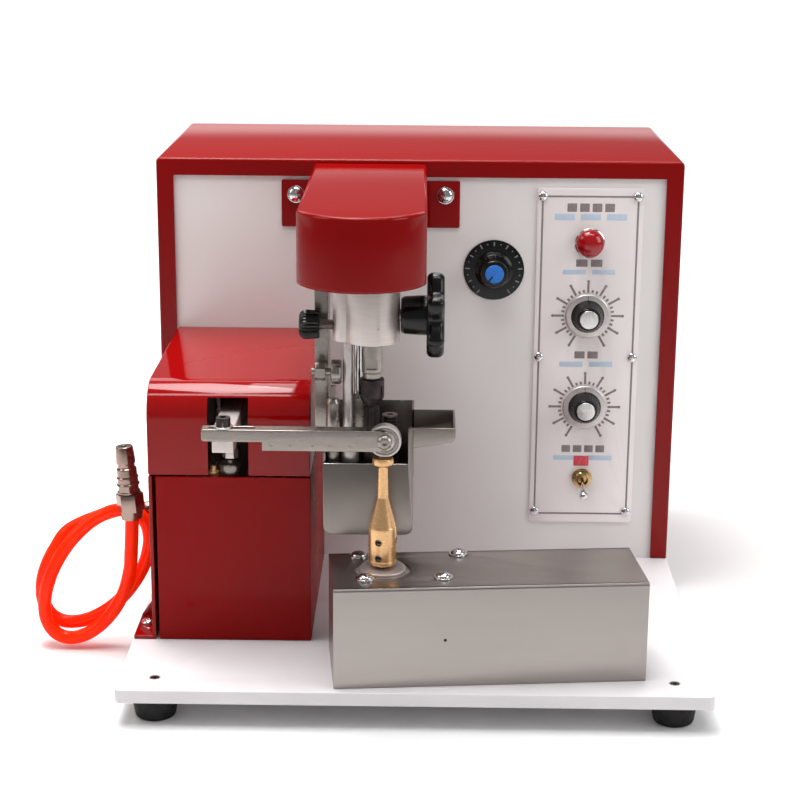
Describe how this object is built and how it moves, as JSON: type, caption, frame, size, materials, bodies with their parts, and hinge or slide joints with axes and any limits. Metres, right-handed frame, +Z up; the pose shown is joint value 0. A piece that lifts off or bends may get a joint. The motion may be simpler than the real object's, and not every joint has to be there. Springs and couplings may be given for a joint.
{
  "type": "leather edge inking machine",
  "caption": "Bench-top leather edge inking machine: red cabinet and head with a motor-driven ink roller in a cup, brass feed wheel, pneumatic press arm and control panel on a footed plate.",
  "frame": {"origin": "on the table, under the middle of the base plate", "axes": "+Z up; the operator stands at -Y and looks along +Y; +X is the operator's right"},
  "size_m": [0.4812, 0.481, 0.344],
  "materials": {
    "red_paint": "glossy red enamel",
    "white_plate": "matt white coated base plate with bare edge",
    "panel_grey": "fine textured grey powder coat",
    "label_plate": "satin printed plate",
    "steel": "machined steel with light scratches",
    "stainless": "folded stainless sheet, brushed",
    "chrome": "bright plating",
    "aluminium": "machined aluminium",
    "black_steel": "blackened steel",
    "brass": "turned brass",
    "nickel": "nickel plated brass",
    "black_plastic": "smooth black plastic",
    "board": "circuit board",
    "rubber": "matt black rubber",
    "red_lens": "clear red lamp cap",
    "orange_hose": "smooth orange polyurethane hose"
  },
  "bodies": {
    "machine": {"base_plate": "white_plate", "foot_front_left": "rubber", "foot_front_right": "rubber", "foot_rear_left": "rubber", "foot_rear_right": "rubber", "cabinet_shell": "red_paint", "front_panel": "panel_grey", "back_panel": "panel_grey", "power_inlet": "black_plastic", "control_plate": "label_plate", "lamp_bezel": "chrome", "lamp_lens": "red_lens", "control_board": "board", "dial_plate": "black_plastic", "switch_body": "chrome", "head_cover": "red_paint", "head_frame": "aluminium", "spindle_housing": "aluminium", "upper_belt": "rubber", "upper_motor": "black_steel", "hanger_bar": "steel", "cross_bolt": "steel", "left_side_plate": "red_paint", "lower_cover": "red_paint", "upper_cover": "red_paint", "rocker_bracket": "steel", "air_cylinder": "aluminium", "motor_cover": "stainless", "bearing_housing": "aluminium", "lower_motor": "black_steel", "lower_belt": "rubber", "air_port": "nickel", "air_hose": "orange_hose", "hose_nut": "nickel", "air_plug": "nickel"},
    "spindle": {"upper_spindle": "steel", "collet_nut": "black_steel", "ink_roller": "black_steel", "spindle_pulley": "aluminium"},
    "upper_drive": {"upper_motor_pulley": "aluminium"},
    "feed": {"wheel_shaft": "steel", "feed_wheel": "brass"},
    "lower_drive": {"lower_motor_pulley": "aluminium"},
    "lever": {"rocker": "aluminium", "arm_clamp_screw": "black_steel"},
    "arm": {"press_arm": "steel", "bearing_screw": "steel"},
    "bearing": {"press_bearing": "chrome"},
    "piston": {"piston_rod": "steel"},
    "clamp": {"clamp_knob": "black_plastic"},
    "star": {"star_knob": "black_plastic"},
    "cup": {"ink_cup": "stainless", "cup_hanger": "steel", "guide_post": "chrome", "adjusting_rod": "steel"},
    "idler": {"idler_roller": "black_steel"},
    "upper_speed": {"speed_knob_upper": "black_plastic"},
    "lower_speed": {"speed_knob_lower": "black_plastic"},
    "dial": {"dial_knob": "black_plastic"},
    "toggle": {"switch_lever": "chrome"}
  },
  "joints": [
    {"name": "spindle_spin", "type": "hinge", "parent": "machine", "child": "spindle", "pos_m": [-0.0307, -0.1685, 0.2265], "axis": [0, 0, 1], "continuous": true},
    {"name": "upper_motor_spin", "type": "hinge", "parent": "machine", "child": "upper_drive", "pos_m": [-0.0307, 0.1045, 0.3065], "axis": [0, 0, 1], "continuous": true},
    {"name": "wheel_spin", "type": "hinge", "parent": "machine", "child": "feed", "pos_m": [-0.0224, -0.1937, 0.0865], "axis": [0, 0, 1], "continuous": true},
    {"name": "lower_motor_spin", "type": "hinge", "parent": "machine", "child": "lower_drive", "pos_m": [0.09244, -0.18305, 0.0465], "axis": [0, 0, 1], "continuous": true},
    {"name": "press_lift", "type": "hinge", "parent": "machine", "child": "lever", "pos_m": [-0.129, -0.0805, 0.1865], "axis": [-1, 0, 0], "range_deg": [0, 6]},
    {"name": "cylinder_stroke", "type": "slide", "parent": "machine", "child": "piston", "axis": [0, 0, 1], "range_m": [0, 0.0065]},
    {"name": "arm_reach", "type": "slide", "parent": "lever", "child": "arm", "axis": [1, 0, 0], "range_m": [-0.01, 0.005]},
    {"name": "bearing_spin", "type": "hinge", "parent": "arm", "child": "bearing", "pos_m": [-0.0213, -0.193, 0.1878], "axis": [0, 1, 0], "continuous": true},
    {"name": "clamp_turn", "type": "hinge", "parent": "machine", "child": "clamp", "pos_m": [-0.065, -0.1685, 0.2605], "axis": [1, 0, 0], "range_deg": [-180, 180]},
    {"name": "star_turn", "type": "hinge", "parent": "machine", "child": "star", "pos_m": [0, -0.1685, 0.2675], "axis": [1, 0, 0], "range_deg": [-180, 180]},
    {"name": "cup_height", "type": "slide", "parent": "machine", "child": "cup", "axis": [0, 0, 1], "range_m": [-0.015, 0]},
    {"name": "idler_spin", "type": "hinge", "parent": "cup", "child": "idler", "pos_m": [-0.0186, -0.1605, 0.1665], "axis": [0, 0, 1], "continuous": true},
    {"name": "upper_speed_turn", "type": "hinge", "parent": "machine", "child": "upper_speed", "pos_m": [0.1303, 0.0245, 0.2246], "axis": [0, -1, 0], "range_deg": [-150, 150]},
    {"name": "lower_speed_turn", "type": "hinge", "parent": "machine", "child": "lower_speed", "pos_m": [0.1303, 0.0245, 0.1518], "axis": [0, -1, 0], "range_deg": [-150, 150]},
    {"name": "dial_turn", "type": "hinge", "parent": "machine", "child": "dial", "pos_m": [0.0574, 0.0245, 0.2597], "axis": [0, -1, 0], "range_deg": [-150, 150]},
    {"name": "toggle_tilt", "type": "hinge", "parent": "machine", "child": "toggle", "pos_m": [0.1303, 0.0197, 0.0932], "axis": [-1, 0, 0], "range_deg": [0, 44]}
  ],
  "couplings": [
    {"joint": "upper_motor_spin", "follows": "spindle_spin", "ratio": 1},
    {"joint": "lower_motor_spin", "follows": "wheel_spin", "ratio": 1},
    {"joint": "cylinder_stroke", "follows": "press_lift", "m_per_rad": 0.06}
  ]
}
